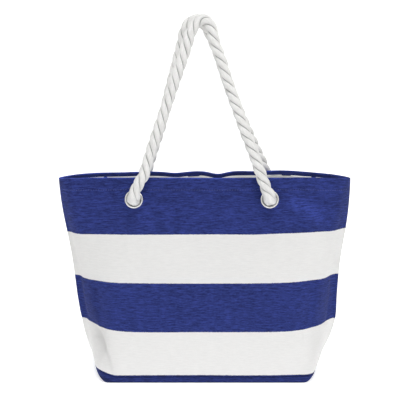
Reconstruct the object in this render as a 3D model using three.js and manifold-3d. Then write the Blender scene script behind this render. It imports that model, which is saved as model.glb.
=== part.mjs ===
// A striped canvas beach bag with two twisted-rope handles. Millimetres, +Z up.
// The origin is on the ground under the middle of the bag. The front faces -Y and +X is to the right.

import * as THREE from 'three';
import { mergeVertices } from 'three/addons/utils/BufferGeometryUtils.js';
import Module from 'manifold-3d';

// Driving dimensions

const RIM_HEIGHT = 368;
const RIM_SIDE_DROP = 6;
const CANVAS_THICKNESS = 2;
const LINING_THICKNESS = 1;
const FACING_THICKNESS = 1.2;
const FACING_HEIGHT = 9;
const PIECE_GAP = 0.3;
const PANEL_COLUMNS = 16;

const EYELET_SPACING = 240;
const EYELET_SHIFT = 5; // the eyelets sit this far left of the middle, seen from outside each wall
const EYELET_HEIGHT = 330;
const EYELET_BORE_RADIUS = 13;
const EYELET_FLANGE_RADIUS = 16.3;
const EYELET_WALL = 0.6;
const EYELET_SEGMENTS = 20;
const LEAN_REACH = 20; // the canvas's lean is taken this far above and below an eyelet
const WASHER_THICKNESS = 0.8;

const ROPE_RADIUS = 10.25;
const ROPE_SIDES = 10;
const ROPE_STEPS = 38;
const HANDLE_STAND_OFF = 14.6;
const APEX_HALF_GAP = 12;

const KNOT_HALF_SIZE = [23, 16.2, 20];
const KNOT_DROP = 7;
const KNOT_BACK = 23.4;
const TAIL_LENGTH = 44;
const END_TAPE_LENGTH = 16;

// The bag's outer cross-section at each height. A section is a closed outline whose front edge is
// y = -halfDepth * (1 - |t| ^ flatness) ^ pinch, with t = x / halfWidth from one side seam to the other.
const SECTIONS = [
  { z: 0, halfWidth: 188.5, halfDepth: 74.5, flatness: 60, pinch: 0.34 },
  { z: 5, halfWidth: 195.5, halfDepth: 77.5, flatness: 44, pinch: 0.42 },
  { z: 14, halfWidth: 204, halfDepth: 78, flatness: 28, pinch: 0.58 },
  { z: 30, halfWidth: 215.5, halfDepth: 77.5, flatness: 18, pinch: 1.1 },
  { z: 60, halfWidth: 228.3, halfDepth: 75, flatness: 11, pinch: 1.75 },
  { z: 97, halfWidth: 237, halfDepth: 70.5, flatness: 7.4, pinch: 2 },
  { z: 140, halfWidth: 241, halfDepth: 64.5, flatness: 7.1, pinch: 1.95 },
  { z: 183, halfWidth: 244, halfDepth: 58.5, flatness: 7, pinch: 1.85 },
  { z: 225, halfWidth: 248.5, halfDepth: 53, flatness: 7.5, pinch: 1.65 },
  { z: 269, halfWidth: 255, halfDepth: 47.5, flatness: 8, pinch: 1.3 },
  { z: 310, halfWidth: 260.3, halfDepth: 43.1, flatness: 9, pinch: 1 },
  { z: 350, halfWidth: 263, halfDepth: 37.5, flatness: 9, pinch: 0.8 },
  { z: RIM_HEIGHT, halfWidth: 263.5, halfDepth: 35, flatness: 6, pinch: 0.7 },
];

// The rope's centre line seen from the front, as [x, z], from the left eyelet over the top to the right one.
const FRONT_ROPE_ROUTE = [
  [-125, 332], [-120.5, 348], [-114.5, 361], [-108, 371], [-96.5, 406.5], [-82.5, 448], [-68, 489],
  [-54, 530], [-39.5, 571], [-29.5, 601.5], [-26.5, 613], [-21.5, 624], [-16, 632.5], [-10.5, 638], [-4, 640],
  [2.5, 638.5], [7.5, 634], [11.5, 627], [13.5, 619.5], [15, 612], [17.5, 601.5], [28.5, 571],
  [41.5, 530], [56.5, 488.5], [71, 448], [87, 407], [98.5, 374.5], [107, 352], [115, 332],
];
const BACK_ROPE_ROUTE = [
  [-115, 332], [-110.5, 353.5], [-103.5, 377], [-94.5, 407], [-81, 447.5], [-69.5, 489.5], [-59, 530.5],
  [-48, 571.5], [-40, 601.5], [-35, 620.5], [-28, 633.5], [-16, 641], [-1.5, 633.5], [7, 620.5],
  [16.5, 601.5], [28, 571], [42, 530], [58.5, 489], [76, 448.5], [95, 407.5], [109.5, 377], [118.5, 353],
  [125, 332],
];
const ROUTE_TOP = 641;

// Materials

const navyCanvas = new THREE.MeshStandardMaterial({ color: 0x323c79, roughness: 0.85, metalness: 0 });
const whiteLining = new THREE.MeshStandardMaterial({ color: 0xeceae6, roughness: 0.9, metalness: 0 });
const whiteRope = new THREE.MeshStandardMaterial({ color: 0xe9e8e4, roughness: 0.8, metalness: 0 });
const whiteTape = new THREE.MeshStandardMaterial({ color: 0xd8d8d4, roughness: 0.5, metalness: 0 });
const nickel = new THREE.MeshStandardMaterial({ color: 0xc4c7ca, roughness: 0.25, metalness: 1 });

// Solids

const wasm = await Module();
wasm.setup();

function toSolid(geometry) {
  const bare = geometry.index ? geometry.clone() : geometry;
  bare.deleteAttribute('normal');
  bare.deleteAttribute('uv');
  const merged = mergeVertices(bare, 1e-4);
  const mesh = new wasm.Mesh({
    numProp: 3,
    vertProperties: new Float32Array(merged.attributes.position.array),
    triVerts: new Uint32Array(merged.index.array),
  });
  return new wasm.Manifold(mesh);
}

function toGeometry(solid) {
  const mesh = solid.getMesh();
  const geometry = new THREE.BufferGeometry();
  geometry.setAttribute('position', new THREE.BufferAttribute(mesh.vertProperties, 3));
  geometry.setIndex(new THREE.BufferAttribute(mesh.triVerts, 1));
  geometry.computeVertexNormals();
  return geometry;
}

function joined(geometries) {
  const solids = geometries.map(toSolid);
  return toGeometry(solids.reduce((whole, next) => whole.add(next)));
}

function cut(geometry, cutters) {
  const solids = cutters.map(toSolid);
  return toGeometry(solids.reduce((whole, next) => whole.subtract(next), toSolid(geometry)));
}

// Canvas shell

function mix(a, b, share) {
  return a + (b - a) * share;
}

function sectionAt(z) {
  const upper = Math.max(1, SECTIONS.findIndex((section) => section.z >= z));
  const low = SECTIONS[upper - 1];
  const high = SECTIONS[upper];
  const share = (z - low.z) / (high.z - low.z);
  return {
    z,
    halfWidth: mix(low.halfWidth, high.halfWidth, share),
    halfDepth: mix(low.halfDepth, high.halfDepth, share),
    flatness: mix(low.flatness, high.flatness, share),
    pinch: mix(low.pinch, high.pinch, share),
  };
}

// A point on the surface that lies `inset` inside the bag's outer face. `side` is -1 in front, 1 behind.
function surfacePoint(section, t, inset, side) {
  const outline = (1 - Math.abs(t) ** section.flatness) ** section.pinch;
  const depth = Math.max((section.halfDepth - inset) * outline, PIECE_GAP / 2);
  const height = inset + section.z * (RIM_HEIGHT - inset) / RIM_HEIGHT;
  const drop = RIM_SIDE_DROP * Math.abs(t) ** 6 * (section.z / RIM_HEIGHT) ** 3;
  return new THREE.Vector3((section.halfWidth - inset) * t, side * depth, height - drop);
}

function surfaceGrid(heights, inset, side, withBase) {
  const grid = [];
  for (const z of heights) {
    const row = [];
    for (let column = 0; column <= PANEL_COLUMNS; column += 1) {
      const t = Math.sin(Math.PI * (column / PANEL_COLUMNS - 0.5));
      row.push(surfacePoint(sectionAt(z), t, inset, side));
    }
    grid.push(row);
  }
  if (withBase) {
    const lowest = grid[grid.length - 1];
    grid.push(lowest.map((point) => new THREE.Vector3(point.x, side * PIECE_GAP / 2, point.z)));
  }
  return grid;
}

// One closed solid between an outer and an inner grid of points.
function shellBetween(outer, inner) {
  const triangles = [];
  const addTriangle = (a, b, c) => {
    if (a.distanceTo(b) > 1e-3 && b.distanceTo(c) > 1e-3 && c.distanceTo(a) > 1e-3) {
      triangles.push(a, b, c);
    }
  };
  const addQuad = (a, b, c, d) => {
    addTriangle(a, b, c);
    addTriangle(a, c, d);
  };
  const rows = outer.length - 1;
  const columns = outer[0].length - 1;
  for (let r = 0; r < rows; r += 1) {
    for (let c = 0; c < columns; c += 1) {
      addQuad(outer[r][c], outer[r + 1][c], outer[r + 1][c + 1], outer[r][c + 1]);
      addQuad(inner[r][c], inner[r][c + 1], inner[r + 1][c + 1], inner[r + 1][c]);
    }
    addQuad(outer[r][0], inner[r][0], inner[r + 1][0], outer[r + 1][0]);
    addQuad(outer[r][columns], outer[r + 1][columns], inner[r + 1][columns], inner[r][columns]);
  }
  for (let c = 0; c < columns; c += 1) {
    addQuad(outer[0][c], outer[0][c + 1], inner[0][c + 1], inner[0][c]);
    addQuad(outer[rows][c], inner[rows][c], inner[rows][c + 1], outer[rows][c + 1]);
  }
  const geometry = new THREE.BufferGeometry().setFromPoints(triangles);
  return mergeVertices(geometry, 1e-4);
}

function turnedOutward(geometry, side) {
  if (side > 0) {
    const index = geometry.index.array;
    for (let i = 0; i < index.length; i += 3) {
      [index[i + 1], index[i + 2]] = [index[i + 2], index[i + 1]];
    }
  }
  return geometry;
}

function shell(heights, inset, thickness, side, withBase) {
  const outer = surfaceGrid(heights, inset, side, withBase);
  const inner = surfaceGrid(heights, inset + thickness, side, withBase);
  return turnedOutward(shellBetween(outer, inner), side);
}

const FACING_BOTTOM = RIM_HEIGHT - FACING_HEIGHT;
const LINING_INSET = CANVAS_THICKNESS + PIECE_GAP;

function sectionHeights(top) {
  const below = SECTIONS.map((section) => section.z).filter((z) => z < top - PIECE_GAP);
  return [top, ...below.reverse()];
}

function panelHeights() {
  const heights = [...sectionHeights(RIM_HEIGHT), FACING_BOTTOM];
  return heights.sort((a, b) => b - a);
}

// Eyelets: each frame has its origin on the canvas at the middle of an eyelet, and +Z out of the bag

function canvasLean() {
  const above = sectionAt(EYELET_HEIGHT + LEAN_REACH);
  const below = sectionAt(EYELET_HEIGHT - LEAN_REACH);
  return Math.atan2(below.halfDepth - above.halfDepth, above.z - below.z);
}

function eyeletX(hand, side) {
  return hand * EYELET_SPACING / 2 + side * EYELET_SHIFT;
}

function eyeletFrame(x, side) {
  const frame = new THREE.Group();
  frame.position.set(x, side * sectionAt(EYELET_HEIGHT).halfDepth, EYELET_HEIGHT);
  frame.rotation.x = -side * (Math.PI / 2 - canvasLean());
  frame.updateMatrix();
  return frame;
}

function lathe(profile) {
  const points = profile.map(([radius, height]) => new THREE.Vector2(radius, height));
  return new THREE.LatheGeometry(points, EYELET_SEGMENTS).rotateX(Math.PI / 2);
}

const CLOTH_STACK = LINING_INSET + LINING_THICKNESS + PIECE_GAP;
const CURL_TOP = -(CLOTH_STACK + WASHER_THICKNESS + PIECE_GAP);
const CURL_HEIGHT = 1.1;

function eyeletGeometry() {
  const bore = EYELET_BORE_RADIUS;
  const barrel = bore + EYELET_WALL;
  const flange = EYELET_FLANGE_RADIUS;
  return lathe([
    [bore, CURL_TOP - 0.7],
    [bore + 1.2, CURL_TOP - CURL_HEIGHT],
    [bore + 2.2, CURL_TOP - 0.7],
    [bore + 2.2, CURL_TOP],
    [barrel, CURL_TOP],
    [barrel, 0.35],
    [flange, 0.35],
    [flange, 0.9],
    [flange - 1.1, 1.9],
    [bore + 0.9, 1.9],
    [bore, 1.1],
    [bore, CURL_TOP - 0.7],
  ]);
}

function washerGeometry() {
  const hole = EYELET_BORE_RADIUS + EYELET_WALL + PIECE_GAP;
  const top = -CLOTH_STACK;
  const bottom = top - WASHER_THICKNESS;
  const rim = EYELET_FLANGE_RADIUS + 0.4;
  return lathe([[hole, bottom], [rim, bottom], [rim, top], [hole, top], [hole, bottom]]);
}

function eyeletCutter(x, side) {
  const radius = EYELET_BORE_RADIUS + EYELET_WALL + PIECE_GAP;
  const cylinder = new THREE.CylinderGeometry(radius, radius, 30, EYELET_SEGMENTS);
  cylinder.rotateX(Math.PI / 2);
  return cylinder.applyMatrix4(eyeletFrame(x, side).matrix);
}

function withEyeletHoles(geometry, side) {
  return cut(geometry, [-1, 1].map((hand) => eyeletCutter(eyeletX(hand, side), side)));
}

// Rope

function handleEnd(x, side) {
  return new THREE.Vector3(0, 0, HANDLE_STAND_OFF).applyMatrix4(eyeletFrame(x, side).matrix);
}

function handleRoute(route, side) {
  const end = handleEnd(eyeletX(-1, side), side);
  const points = route.map(([x, z]) => {
    const share = (ROUTE_TOP - z) / (ROUTE_TOP - end.z);
    return new THREE.Vector3(x, side * mix(APEX_HALF_GAP, Math.abs(end.y), share), z);
  });
  points[0].copy(end);
  points[points.length - 1].copy(handleEnd(eyeletX(1, side), side));
  return points;
}

function ropeSection() {
  const points = [];
  for (let i = 0; i < ROPE_SIDES; i += 1) {
    const angle = 2 * Math.PI * i / ROPE_SIDES;
    points.push(new THREE.Vector2(ROPE_RADIUS * Math.cos(angle), ROPE_RADIUS * Math.sin(angle)));
  }
  return new THREE.Shape(points);
}

function handleGeometry(route, side) {
  const points = handleRoute(route, side);
  const path = new THREE.CatmullRomCurve3(points, false, 'centripetal');
  const rope = new THREE.ExtrudeGeometry(ropeSection(), {
    steps: ROPE_STEPS,
    extrudePath: path,
  });
  const ends = [points[0], points[points.length - 1]].map((point) => {
    const ball = new THREE.SphereGeometry(ROPE_RADIUS, ROPE_SIDES, 6);
    return ball.translate(point.x, point.y, point.z);
  });
  return joined([rope, ...ends]);
}

// The knot inside the bag, the rope through the eyelet and the rope's tail, in the bag's frame.
function knotGeometry(x, side) {
  const frame = eyeletFrame(x, side).matrix;
  const throughLength = KNOT_BACK + 2.2;
  const through = new THREE.CylinderGeometry(ROPE_RADIUS, ROPE_RADIUS, throughLength, ROPE_SIDES);
  through.rotateX(Math.PI / 2);
  through.translate(0, 0, 2.2 - throughLength / 2);
  through.applyMatrix4(frame);
  const centre = new THREE.Vector3(0, 0, -KNOT_BACK).applyMatrix4(frame);
  const lump = new THREE.SphereGeometry(1, 12, 8);
  lump.scale(...KNOT_HALF_SIZE);
  lump.translate(centre.x, centre.y, centre.z - KNOT_DROP);
  const tail = new THREE.CylinderGeometry(ROPE_RADIUS, ROPE_RADIUS, TAIL_LENGTH, ROPE_SIDES);
  tail.rotateX(Math.PI / 2);
  tail.translate(centre.x, centre.y, centre.z - KNOT_DROP - TAIL_LENGTH / 2);
  return joined([through, lump, tail]);
}

function endTapeGeometry(x, side) {
  const centre = new THREE.Vector3(0, 0, -KNOT_BACK).applyMatrix4(eyeletFrame(x, side).matrix);
  const radius = ROPE_RADIUS + 0.4;
  const tape = new THREE.CylinderGeometry(radius, radius, END_TAPE_LENGTH, ROPE_SIDES);
  tape.rotateX(Math.PI / 2);
  const top = centre.z - KNOT_DROP - TAIL_LENGTH - PIECE_GAP;
  return tape.translate(centre.x, centre.y, top - END_TAPE_LENGTH / 2);
}

// Assembly

function namedMesh(name, geometry, material) {
  const mesh = new THREE.Mesh(geometry, material);
  mesh.name = name;
  return mesh;
}

function clothPieces(sideName, side) {
  const panel = shell(panelHeights(), 0, CANVAS_THICKNESS, side, true);
  const facingHeights = [RIM_HEIGHT, FACING_BOTTOM + PIECE_GAP / 2];
  const facing = shell(facingHeights, LINING_INSET, FACING_THICKNESS, side, false);
  const liningHeights = sectionHeights(FACING_BOTTOM - PIECE_GAP / 2);
  const lining = shell(liningHeights, LINING_INSET, LINING_THICKNESS, side, true);
  return [
    namedMesh(`${sideName}_panel`, withEyeletHoles(panel, side), navyCanvas),
    namedMesh(`${sideName}_rim_facing`, facing, navyCanvas),
    namedMesh(`${sideName}_lining`, withEyeletHoles(lining, side), whiteLining),
  ];
}

function eyeletPieces(name, x, side) {
  const frame = eyeletFrame(x, side);
  frame.add(namedMesh(`${name}_eyelet`, eyeletGeometry(), nickel));
  frame.add(namedMesh(`${name}_washer`, washerGeometry(), nickel));
  return [
    frame,
    namedMesh(`${name}_knot`, knotGeometry(x, side), whiteRope),
    namedMesh(`${name}_rope_end_tape`, endTapeGeometry(x, side), whiteTape),
  ];
}

function halfBag(sideName, side, route) {
  const half = new THREE.Group();
  half.add(...clothPieces(sideName, side));
  half.add(...eyeletPieces(`${sideName}_left`, eyeletX(-1, side), side));
  half.add(...eyeletPieces(`${sideName}_right`, eyeletX(1, side), side));
  half.add(namedMesh(`${sideName}_handle_rope`, handleGeometry(route, side), whiteRope));
  return half;
}

const group = new THREE.Group();
group.name = 'beach_bag';
group.add(halfBag('front', -1, FRONT_ROPE_ROUTE));
group.add(halfBag('back', 1, BACK_ROPE_ROUTE));

export default group;
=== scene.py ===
"""A striped canvas beach bag with two knotted rope handles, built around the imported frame, in metres."""

from math import atan2, cos, hypot, pi, radians, sin

import bmesh
import bpy
import numpy as np
from mathutils import Matrix, Vector


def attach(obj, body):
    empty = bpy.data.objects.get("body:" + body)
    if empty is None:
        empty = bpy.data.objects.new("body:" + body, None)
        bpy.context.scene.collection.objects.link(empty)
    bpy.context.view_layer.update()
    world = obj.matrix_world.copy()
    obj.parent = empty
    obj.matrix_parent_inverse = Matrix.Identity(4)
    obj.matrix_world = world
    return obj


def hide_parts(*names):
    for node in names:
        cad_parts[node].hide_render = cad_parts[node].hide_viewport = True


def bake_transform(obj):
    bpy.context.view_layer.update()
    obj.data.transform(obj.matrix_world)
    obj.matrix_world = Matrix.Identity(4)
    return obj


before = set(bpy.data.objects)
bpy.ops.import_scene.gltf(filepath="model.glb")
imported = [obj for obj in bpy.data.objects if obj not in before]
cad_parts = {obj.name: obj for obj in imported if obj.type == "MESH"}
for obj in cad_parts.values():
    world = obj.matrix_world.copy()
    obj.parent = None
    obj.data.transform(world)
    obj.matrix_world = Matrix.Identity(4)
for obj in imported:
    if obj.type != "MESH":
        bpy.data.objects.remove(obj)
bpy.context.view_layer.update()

FRONT, BACK = -1, 1
SIDE_NAMES = {FRONT: "front", BACK: "back"}
HAND_NAMES = {-1: "left", 1: "right"}

# ---- sizes, as in the CAD model

RIM_HEIGHT = 0.368
RIM_SIDE_DROP = 0.006
SEAM_GAP = 0.00015

EYELET_X = 0.120
EYELET_SHIFT = 0.005
EYELET_HEIGHT = 0.330
EYELET_BORE = 0.013
EYELET_BARREL = 0.0136
EYELET_FLANGE = 0.0163
LEAN_REACH = 0.020

ROPE_DIAMETER = 0.0205
ROPE_LAY = 0.061
ROPE_PHASE = 0.4
POINTS_PER_STRAND = 40
RING_SPACING = 0.0015
HANDLE_STAND_OFF = 0.0146
APEX_HALF_GAP = 0.012
ROUTE_TOP = 0.641

# The bag's outer cross-section at each height: z, half width, half depth, flatness and pinch. Its front
# edge is y = -half_depth * (1 - |t| ** flatness) ** pinch, with t = x / half_width. The values are the CAD
# model's, except that the base is 2.7 mm deeper on each side at the ground, so that its edge shows.
SECTIONS = np.array([
    [0.000, 0.1885, 0.0772, 60, 0.34],
    [0.005, 0.1955, 0.0775, 44, 0.42],
    [0.014, 0.2040, 0.0780, 28, 0.58],
    [0.030, 0.2155, 0.0775, 18, 1.10],
    [0.060, 0.2283, 0.0750, 11, 1.75],
    [0.097, 0.2370, 0.0705, 7.4, 2.00],
    [0.140, 0.2410, 0.0645, 7.1, 1.95],
    [0.183, 0.2440, 0.0585, 7, 1.85],
    [0.225, 0.2485, 0.0530, 7.5, 1.65],
    [0.269, 0.2550, 0.0475, 8, 1.30],
    [0.310, 0.2603, 0.0431, 9, 1.00],
    [0.350, 0.2630, 0.0375, 9, 0.80],
    [0.368, 0.2635, 0.0350, 6, 0.70],
])
# How far the loose cloth leans to the right at both side seams, at each height.
LOPSIDED = np.array([
    [0.000, 0.0024], [0.030, 0.0042], [0.060, 0.0068], [0.097, 0.0080], [0.140, 0.0052], [0.183, 0.0040],
    [0.269, 0.0031], [0.323, 0.0013], [0.368, 0.0],
])

# How far the stripes rise at the left and right side seams, at each height.
STRIPE_RISE = np.array([
    [0.000, 0.0, 0.0], [0.0135, 0.0, 0.0036], [0.0947, 0.0064, 0.0035], [0.1808, 0.0012, 0.0025],
    [0.2672, -0.0030, 0.0020], [0.368, 0.0, 0.0],
])

# The ropes' centre lines seen from the front, as x and z in millimetres, from left to right over the top.
ROPE_ROUTES = {
    FRONT: [
        (-120.5, 348), (-114.5, 361), (-108, 371), (-96.5, 406.5), (-82.5, 448),
        (-68, 489), (-54, 530), (-39.5, 571), (-29.5, 601.5), (-26.5, 613),
        (-21.5, 624), (-16, 632.5), (-10.5, 638), (-4, 640), (2.5, 638.5),
        (7.5, 634), (11.5, 627), (13.5, 619.5), (15, 612), (17.5, 601.5), (28.5, 571),
        (41.5, 530), (56.5, 488.5), (71, 448), (87, 407), (98.5, 374.5), (107, 352),
    ],
    BACK: [
        (-110.5, 353.5), (-103.5, 377), (-94.5, 407), (-81, 447.5), (-69.5, 489.5),
        (-59, 530.5), (-48, 571.5), (-40, 601.5), (-35, 620.5), (-28, 633.5),
        (-16, 641), (-1.5, 633.5), (7, 620.5), (16.5, 601.5), (28, 571),
        (42, 530), (58.5, 489), (76, 448.5), (95, 407.5), (109.5, 377), (118.5, 353),
    ],
}

# Cloth
CANVAS_THICKNESS = 0.0013
LINING_THICKNESS = 0.0006
ROLL_RADIUS = 0.0018
FACING_HEIGHT = 0.009
LINING_INSET = 0.0026
LINING_NARROWING = 0.0035
SEAM_ROUNDING = 0.0022
CLOTH_HOLE = EYELET_FLANGE - 0.0019
HOLE_REACH = 0.030
HOLE_BLOCK = 3
CLOTH_COLUMNS = 241
ROW_SPACING = 0.0025
BASE_ROWS = 30
RAMP_HEIGHT = RIM_HEIGHT * 1.1
STRIPE_EDGES = [0.0130, 0.0923, 0.1794, 0.2669]
STITCH_HEIGHT = RIM_HEIGHT - 0.022
STITCH_STEP = 0.0009
STITCH_STEPS = 3
STITCH_GAP = 2
THREAD_RADIUS = 0.00038
THREAD_SIDES = 6
SEAM_COLUMNS = 6

# Cloth simulation
SETTLING_HEIGHTS = np.linspace(0, RIM_HEIGHT - 0.0005, 53)
SETTLING_COLUMNS = 83
SETTLING_FRAMES = 24
CLOTH_SLACK = 0.002
MOST_SETTLING = 0.0032
SETTLED = {}


# ---- numbers

def smooth_between(x, xs, ys):
    """Cubic Hermite interpolation through the points (xs, ys)."""
    slopes = np.gradient(ys, xs)
    i = np.clip(np.searchsorted(xs, x) - 1, 0, len(xs) - 2)
    span = xs[i + 1] - xs[i]
    s = (x - xs[i]) / span
    start = ys[i] * (1 + 2 * s) * (1 - s) ** 2 + span * slopes[i] * s * (1 - s) ** 2
    end = ys[i + 1] * s * s * (3 - 2 * s) + span * slopes[i + 1] * s * s * (s - 1)
    return start + end


def smoothstep(x, low, high):
    """0 up to low, 1 from high on and smooth between them. It falls instead if high is the smaller."""
    s = np.clip((x - low) / (high - low), 0, 1)
    return s * s * (3 - 2 * s)


def noise(u, v, cell_u, cell_v, seed):
    """Seeded smooth value noise from -1 to 1 over two coordinates in metres."""
    values = np.random.default_rng(seed).uniform(-1, 1, (64, 64))
    a = u / cell_u
    b = v / cell_v
    i = np.floor(a).astype(int)
    j = np.floor(b).astype(int)
    fa = a - i
    fb = b - j
    fa = fa ** 3 * (fa * (6 * fa - 15) + 10)
    fb = fb ** 3 * (fb * (6 * fb - 15) + 10)
    i0, i1, j0, j1 = i % 64, (i + 1) % 64, j % 64, (j + 1) % 64
    low = values[i0, j0] * (1 - fa) + values[i1, j0] * fa
    high = values[i0, j1] * (1 - fa) + values[i1, j1] * fa
    return low * (1 - fb) + high * fb


def unit(vectors):
    """Vectors of length one in the same directions."""
    return vectors / np.maximum(np.linalg.norm(vectors, axis=-1, keepdims=True), 1e-12)


def centripetal_points(points, samples_per_span=24):
    """A centripetal Catmull-Rom curve through the points, as the CAD model's rope path is."""
    p = np.array(points, float)
    p = np.vstack([2 * p[0] - p[1], p, 2 * p[-1] - p[-2]])
    curve = []
    for i in range(1, len(p) - 2):
        d0, d1, d2 = [max(np.linalg.norm(p[i + k] - p[i + k - 1]) ** 0.5, 1e-6) for k in range(3)]
        t1 = (p[i] - p[i - 1]) / d0 - (p[i + 1] - p[i - 1]) / (d0 + d1) + (p[i + 1] - p[i]) / d1
        t2 = (p[i + 1] - p[i]) / d1 - (p[i + 2] - p[i]) / (d1 + d2) + (p[i + 2] - p[i + 1]) / d2
        t1, t2 = t1 * d1, t2 * d1
        s = np.linspace(0, 1, samples_per_span, endpoint=False)[:, None]
        a = 2 * p[i] - 2 * p[i + 1] + t1 + t2
        b = -3 * p[i] + 3 * p[i + 1] - 2 * t1 - t2
        curve.append(a * s ** 3 + b * s ** 2 + t1 * s + p[i])
    return np.vstack(curve + [p[-2:-1]])


def evenly_spaced(points, spacing):
    """The same path with its points a fixed distance apart."""
    lengths = np.concatenate([[0], np.cumsum(np.linalg.norm(np.diff(points, axis=0), axis=1))])
    stations = np.linspace(0, lengths[-1], max(2, int(round(lengths[-1] / spacing)) + 1))
    path = np.stack([np.interp(stations, lengths, points[:, k]) for k in range(3)], axis=1)
    return path, stations


# ---- meshes

def placed_object(name, data):
    """A new object in the scene that shows a mesh, camera or light."""
    made = bpy.data.objects.new(name, data)
    bpy.context.scene.collection.objects.link(made)
    return made


def smooth_mesh(name, points, faces, material):
    """A smooth-shaded mesh in one material."""
    mesh = bpy.data.meshes.new(name)
    mesh.from_pydata(points, [], faces)
    mesh.polygons.foreach_set("use_smooth", [True] * len(mesh.polygons))
    mesh.materials.append(material)
    return mesh


def mesh_object(name, points, faces, material, coordinates):
    """A piece of the bag. `coordinates` become the point attribute "cloth" that the materials read."""
    mesh = smooth_mesh(name, np.asarray(points).tolist(), faces, material)
    attribute = mesh.attributes.new("cloth", "FLOAT_VECTOR", "POINT")
    attribute.data.foreach_set("vector", np.asarray(coordinates, np.float32).ravel())
    made = placed_object(name, mesh)
    return made


def quads(rows, columns, closed=False):
    """The faces of a grid of points numbered row by row, with closed rings of columns if asked."""
    across = columns if closed else columns - 1
    r, c = np.meshgrid(np.arange(rows - 1), np.arange(across), indexing="ij")
    following = (c + 1) % columns
    corners = [r * columns + c, (r + 1) * columns + c, (r + 1) * columns + following, r * columns + following]
    return np.stack([corner.ravel() for corner in corners], axis=1)


def closed_sheet(name, side, outer, inner, kept, outer_gap, height, material):
    """A closed sheet between two grids of points. `kept` says which of the grid's faces are there.

    Both grids stay off the plane where the bag's front and back halves meet."""
    outer[..., 1] = side * np.maximum(side * outer[..., 1], outer_gap)
    inner[..., 1] = side * np.maximum(side * inner[..., 1], SEAM_GAP)
    coordinates = cloth_coordinates(outer, height)
    count = outer.shape[0] * outer.shape[1]
    faces = quads(*outer.shape[:2])[kept.ravel()]
    if side == BACK:
        faces = faces[:, ::-1]
    edges = np.concatenate([np.stack([faces[:, k], faces[:, (k + 1) % 4]], axis=1) for k in range(4)])
    codes = edges[:, 0] * count + edges[:, 1]
    reverses = edges[:, 1] * count + edges[:, 0]
    border = edges[~np.isin(codes, reverses)]
    rim = np.stack([border[:, 1], border[:, 0], border[:, 0] + count, border[:, 1] + count], axis=1)
    every_face = np.concatenate([faces, faces[:, ::-1] + count, rim])
    points = np.concatenate([outer.reshape(-1, 3), inner.reshape(-1, 3)])
    both = np.concatenate([coordinates.reshape(-1, 3)] * 2)
    used, numbers = np.unique(every_face, return_inverse=True)
    return mesh_object(name, points[used], numbers.reshape(-1, 4).tolist(), material, both[used])


# ---- materials

class Shader:
    """A small helper that adds nodes to a new material and joins them."""

    def __init__(self, name, **values):
        self.material = bpy.data.materials.new(name)
        self.material.use_nodes = True
        self.tree = self.material.node_tree
        self.bsdf = self.tree.nodes["Principled BSDF"]
        for socket, value in values.items():
            self.bsdf.inputs[socket.replace("_", " ")].default_value = value

    def add(self, kind, **values):
        node = self.tree.nodes.new(kind)
        for name, value in values.items():
            if hasattr(node, name):
                setattr(node, name, value)
            else:
                node.inputs[name.replace("_", " ")].default_value = value
        return node

    def join(self, output, target):
        self.tree.links.new(output, target)

    def math(self, operation, a, b):
        node = self.add("ShaderNodeMath", operation=operation)
        for socket, value in zip(node.inputs, (a, b)):
            if isinstance(value, (int, float)):
                socket.default_value = value
            else:
                self.join(value, socket)
        return node.outputs[0]

    def product(self, *values):
        result = values[0]
        for value in values[1:]:
            result = self.math("MULTIPLY", result, value)
        return result

    def total(self, first, *shares):
        """The first value and a share of each other one, added up."""
        for value, share in shares:
            first = self.math("ADD", first, self.math("MULTIPLY", value, share))
        return first

    def cloth_coordinates(self, stretch=(1, 1, 1)):
        """The cloth's own coordinates in metres, each scaled."""
        attribute = self.add("ShaderNodeAttribute", attribute_name="cloth")
        scaled = self.add("ShaderNodeVectorMath", operation="MULTIPLY")
        self.join(attribute.outputs["Vector"], scaled.inputs[0])
        scaled.inputs[1].default_value = stretch
        return scaled.outputs[0]

    def coordinate(self, axis):
        """One of the cloth's coordinates, in metres."""
        parts = self.add("ShaderNodeSeparateXYZ")
        self.join(self.cloth_coordinates(), parts.inputs[0])
        return parts.outputs[axis]

    def noise(self, stretch, detail=2.0, roughness=0.5):
        """Noise whose grain is 1 / stretch metres along each cloth coordinate."""
        node = self.add("ShaderNodeTexNoise", Scale=1.0, Detail=detail, Roughness=roughness)
        self.join(self.cloth_coordinates(stretch), node.inputs["Vector"])
        return node.outputs["Fac"]

    def wave(self, stretch, direction):
        """A band pattern of 1 / stretch metres along one cloth coordinate."""
        node = self.add("ShaderNodeTexWave", wave_type="BANDS", bands_direction=direction,
                        Scale=pi / 10, Distortion=0.6, Detail=1.0)
        self.join(self.cloth_coordinates(stretch), node.inputs["Vector"])
        return node.outputs["Fac"]

    def ranged(self, value, low, high, start=0.0, end=1.0):
        """A value from start to end spread to low-high."""
        node = self.add("ShaderNodeMapRange", From_Min=start, From_Max=end, To_Min=low, To_Max=high)
        self.join(value, node.inputs["Value"])
        return node.outputs["Result"]

    def tinted(self, colour, factor):
        """A colour, or a colour output, made darker or lighter by a factor output."""
        node = self.add("ShaderNodeVectorMath", operation="SCALE")
        if isinstance(colour, tuple):
            node.inputs[0].default_value = colour
        else:
            self.join(colour, node.inputs[0])
        self.join(factor, node.inputs["Scale"])
        return node.outputs[0]

    def finish(self, colour, height=None, depth=0.0003, strength=1.0):
        """The material with its colour and, if there is a height, its bumps."""
        self.join(colour, self.bsdf.inputs["Base Color"])
        if height is not None:
            bump = self.add("ShaderNodeBump", Distance=depth, Strength=strength)
            self.join(height, bump.inputs["Height"])
            self.join(bump.outputs["Normal"], self.bsdf.inputs["Normal"])
        return self.material


NAVY = (0.0240, 0.0375, 0.1850)
WHITE = (0.820, 0.815, 0.805)


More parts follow.
